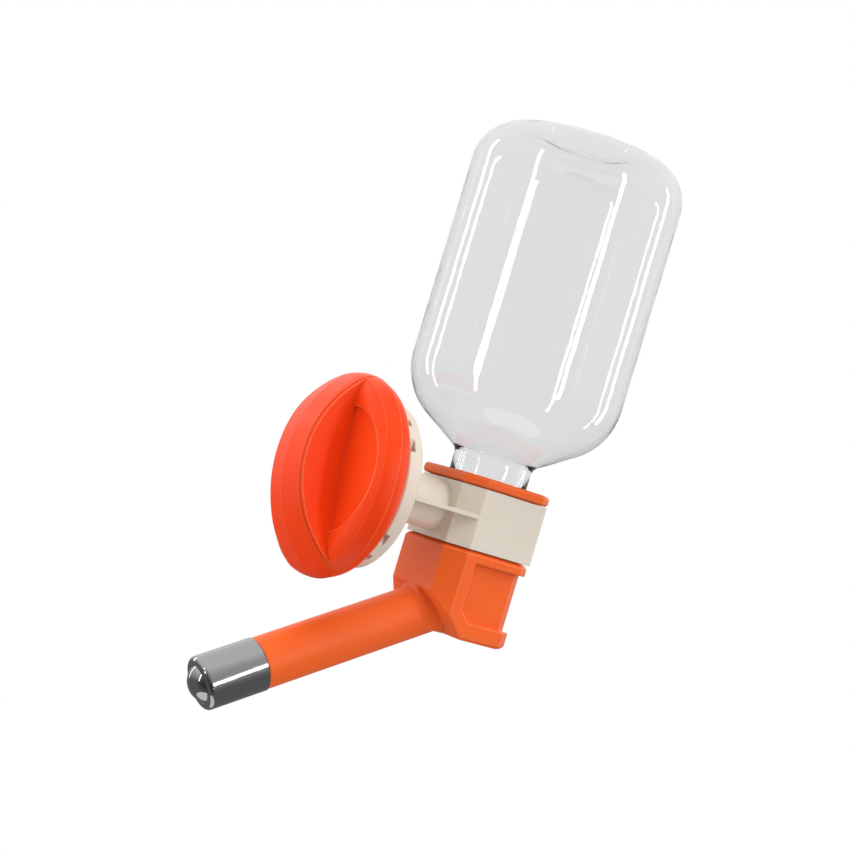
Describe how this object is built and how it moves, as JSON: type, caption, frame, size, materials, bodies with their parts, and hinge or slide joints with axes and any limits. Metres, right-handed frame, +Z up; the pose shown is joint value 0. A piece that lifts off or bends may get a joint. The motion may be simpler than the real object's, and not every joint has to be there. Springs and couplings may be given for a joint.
{
  "type": "small animal water bottle",
  "caption": "Hanging drinker: an upturned clear bottle in a moulded feeder head with an angled spout and ball nozzle, held by a collar bracket with a slotted clamp plate and a large screw knob.",
  "frame": {"origin": "on the clamp stud's axis, in the bearing face of the clamp plate", "axes": "+Z up along the bottle's axis; -Y out along the stud toward the cage and the animal; +X to the right seen from inside the cage"},
  "size_m": [0.07, 0.117, 0.2051],
  "materials": {
    "clear_bottle": "clear gloss, blow-moulded",
    "silicone": "soft satin",
    "orange_moulding": "satin gloss",
    "orange_knob": "satin gloss",
    "cream_moulding": "satin",
    "white_moulding": "satin",
    "chrome_sleeve": "polished",
    "steel_ball": "polished",
    "spring_wire": "bright drawn wire",
    "black_rubber": "matte"
  },
  "bodies": {
    "bracket": {"bracket": "cream_moulding"},
    "thread_insert": {"knob_thread_insert": "cream_moulding"},
    "knob": {"knob": "orange_knob"},
    "feeder": {"feeder_head": "orange_moulding", "bottle_gasket": "silicone", "nozzle_sleeve": "chrome_sleeve", "ball_seal_ring": "silicone", "valve_spring": "spring_wire", "spring_seat": "white_moulding", "nozzle_o_ring": "black_rubber"},
    "bottle": {"bottle": "clear_bottle"},
    "ball": {"nozzle_ball": "steel_ball"}
  },
  "joints": [
    {"name": "knob_travel", "type": "slide", "parent": "bracket", "child": "thread_insert", "axis": [0, -1, 0], "range_m": [0, 0.03]},
    {"name": "knob_turn", "type": "hinge", "parent": "thread_insert", "child": "knob", "pos_m": [0, 0, 0], "axis": [0, -1, 0], "range_deg": [-1, 5401]},
    {"name": "head_slide", "type": "slide", "parent": "bracket", "child": "feeder", "axis": [0, 1, 0], "range_m": [0, 0.032]},
    {"name": "bottle_lift", "type": "slide", "parent": "feeder", "child": "bottle", "axis": [0, 0, 1], "range_m": [0, 0.03]},
    {"name": "ball_press", "type": "slide", "parent": "feeder", "child": "ball", "axis": [0, 0.866, 0.5], "range_m": [0, 0.002], "stiffness_N_per_m": 200, "springref_m": -0.002, "deforming": ["valve_spring"]}
  ],
  "couplings": [
    {"joint": "knob_turn", "follows": "knob_travel", "rad_per_m": 3141.6}
  ]
}
